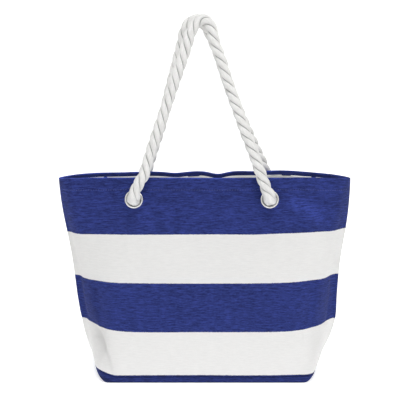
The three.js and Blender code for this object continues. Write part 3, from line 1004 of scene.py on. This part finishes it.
def place_name(side, hand):
    """Which of the four eyelets a piece belongs to, such as front_left."""
    return f"{SIDE_NAMES[side]}_{HAND_NAMES[hand]}"


def tightness(distance, length):
    """The knot's rope is pulled thin, and its tail is nearly full thickness."""
    return 0.80 + 0.16 * smoothstep(distance / length, 0.72, 0.86)


def knot(side, hand):
    """The stopper knot inside the bag with its hanging tail."""
    route = np.array(KNOT_ROUTE) / 1000
    points = [in_eyelet(hand, side, x, 0, -inward) + np.array((0, 0, up)) for x, up, inward in route]
    points.append(points[-1] + np.array((0, 0, TAIL_BOTTOM - route[-1, 1] - 0.010)))
    name = place_name(side, hand)
    made, path, _ = twisted_rope(f"{name}_stopper_knot", points, 411 + hand + 3 * side, tightness)
    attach(made, "bag")
    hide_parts(f"{name}_knot")
    return made, path[-1]


def tape(side, hand, top):
    """The wrap that binds the rope's cut end, with the strands' ends showing below it."""
    profile = [(0, 0.004), (0.9, 0.004), (0.97, 0.003)]
    for turn in range(TAPE_TURNS):
        drop = -0.0005 - 0.0028 * turn
        profile += [(1.0, drop), (1.03, drop - 0.0007), (1.03, drop - 0.0021), (1.0, drop - 0.0026)]
    profile += [(0.96, -0.0148), (0.90, -0.0158), (0.72, -0.0163), (0, -0.0160)]
    profile = [(ROPE_DIAMETER / 2 * r, h) for r, h in profile]
    place = Matrix.Translation(top)
    return turned_piece(side, hand, "end_wrap", "rope_end_tape", profile, place, 48, TAPE)


# ---- eyelets

def turned_piece(side, hand, name, node, profile, place, segments, material):
    """A turned piece at one eyelet. The profile runs from the axis to the axis, or closes on itself."""
    if profile[0][0] > 0:
        profile = profile + profile[:1]
    vertices, coordinates = [], []
    for radius, height in profile:
        for segment in range(segments):
            angle = 2 * pi * segment / segments
            local = Vector((radius * cos(angle), radius * sin(angle), height))
            vertices.append(tuple(place @ local))
            coordinates.append((local.x, local.z, local.y))
    faces = quads(len(profile), segments, closed=True)[:, ::-1].tolist()
    corner = place_name(side, hand)
    made = mesh_object(f"{corner}_{name}", vertices, faces, material, coordinates)
    work = bmesh.new()
    work.from_mesh(made.data)
    bmesh.ops.remove_doubles(work, verts=work.verts, dist=1e-6)
    bmesh.ops.recalc_face_normals(work, faces=work.faces)
    work.to_mesh(made.data)
    work.free()
    made.data.set_sharp_from_angle(angle=radians(42))
    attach(made, "bag")
    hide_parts(f"{corner}_{node}")
    return made


def half_ellipse(centre, half_width, half_height, start, end, steps):
    """Points on an ellipse from one angle to another, in degrees."""
    angles = np.radians(np.linspace(start, end, steps))
    return [(centre[0] + half_width * cos(a), centre[1] + half_height * sin(a)) for a in angles]


CLOTH_STACK = 0.0036


def eyelet(side, hand):
    """The barrel with its domed flange in front and its end curled over the washer behind."""
    middle = (EYELET_FLANGE + EYELET_BORE) / 2
    half = (EYELET_FLANGE - EYELET_BORE) / 2
    curl_top = -(CLOTH_STACK + 0.0011)
    profile = half_ellipse((middle, 0.0003), half, 0.0016, 180, 0, 17)
    profile += [(EYELET_FLANGE - 0.0002, 0.0001), (EYELET_BARREL, 0.0001), (EYELET_BARREL, curl_top)]
    profile += half_ellipse((EYELET_BORE + 0.0011, curl_top), 0.0011, 0.0011, 0, -180, 13)
    place = eyelet_frame(hand, side)
    turned_piece(side, hand, "metal_eyelet", "eyelet", profile, place, 96, NICKEL)


def washer(side, hand):
    """The thin ring behind the lining."""
    hole = EYELET_BARREL + 0.0002
    rim = EYELET_FLANGE + 0.0004
    top = -CLOTH_STACK
    bottom = top - 0.0008
    profile = [(hole, top), (hole, bottom), (rim - 0.0012, bottom), (rim - 0.0003, bottom + 0.0003)]
    profile.append((rim, top))
    place = eyelet_frame(hand, side)
    turned_piece(side, hand, "metal_washer", "washer", profile, place, 96, NICKEL)


# ---- assembly


def build_side(side):
    """One half of the bag with its handle and metalwork."""
    points, normals, height = canvas_panel(side)
    rim_facing(side)
    lining(side)
    topstitch(side, points, normals, height)
    rope, path, stations = handle(side)
    ends = []
    for hand in (-1, 1):
        eyelet(side, hand)
        washer(side, hand)
        stopper, tail = knot(side, hand)
        wrap = tape(side, hand, Vector(tail) + Vector((0, 0, 0.0045)))
        ends += [stopper, wrap]


for side in (FRONT, BACK):
    build_side(side)


# ---- camera, backdrop and light

def add_camera():
    """The view from straight in front and above."""
    data = bpy.data.cameras.new("camera")
    data.sensor_width = 36
    data.lens = 73.25
    camera = placed_object("camera", data)
    camera.location = (-0.0082, -1.450, 0.6081)
    camera.rotation_euler = (radians(90 - 11.215), 0, 0)
    bpy.context.scene.camera = camera


def add_backdrop():
    """A pale floor that curves up into a wall behind the bag and goes all the way round."""
    radius, bend, top, segments = 3.0, 1.2, 4.5, 64
    profile = [(0.0, 0.0), (radius - bend, 0.0)]
    for step in range(1, 13):
        angle = pi / 2 * step / 12
        profile.append((radius - bend + bend * sin(angle), bend - bend * cos(angle)))
    profile.append((radius, top))
    angles = [2 * pi * k / segments for k in range(segments)]
    vertices = [(r * cos(angle), r * sin(angle), height) for r, height in profile for angle in angles]
    faces = quads(len(profile), segments, closed=True).tolist()
    shader = Shader("backdrop", Base_Color=(0.9, 0.9, 0.9, 1), Roughness=0.9)
    shader.bsdf.inputs["Emission Color"].default_value = (1, 1, 1, 1)
    position = shader.add("ShaderNodeNewGeometry").outputs["Position"]
    distance = shader.add("ShaderNodeVectorMath", operation="DISTANCE")
    shader.join(position, distance.inputs[0])
    distance.inputs[1].default_value = (0, 2.4, 0.4)
    glow = shader.ranged(distance.outputs["Value"], 0.60, 0.0, 2.70, 3.40)
    shader.join(glow, shader.bsdf.inputs["Emission Strength"])
    floor = placed_object("backdrop", smooth_mesh("backdrop", vertices, faces, shader.material))


def add_area(name, location, size, power):
    """A round soft light that faces the middle of the bag."""
    data = bpy.data.lights.new(name, "AREA")
    data.shape = "DISK"
    data.size = size
    data.energy = power
    light = placed_object(name, data)
    light.location = location
    light.rotation_euler = (Vector((0, 0, 0.25)) - Vector(location)).to_track_quat("-Z", "Y").to_euler()


def add_light():
    """A faint white world and three soft lights, the strongest above and in front."""
    world = bpy.data.worlds.new("studio")
    world.use_nodes = True
    background = world.node_tree.nodes["Background"]
    background.inputs["Color"].default_value = (1, 1, 1, 1)
    background.inputs["Strength"].default_value = 0.10
    bpy.context.scene.world = world
    add_area("left_softbox", (-1.6, -1.7, 1.4), 1.2, 1.8)
    add_area("right_softbox", (1.5, -1.7, 1.8), 1.0, 8.4)
    add_area("top_softbox", (0.1, -0.8, 2.4), 1.0, 22.0)


add_camera()
add_backdrop()
add_light()
bpy.context.scene.view_settings.view_transform = "Standard"
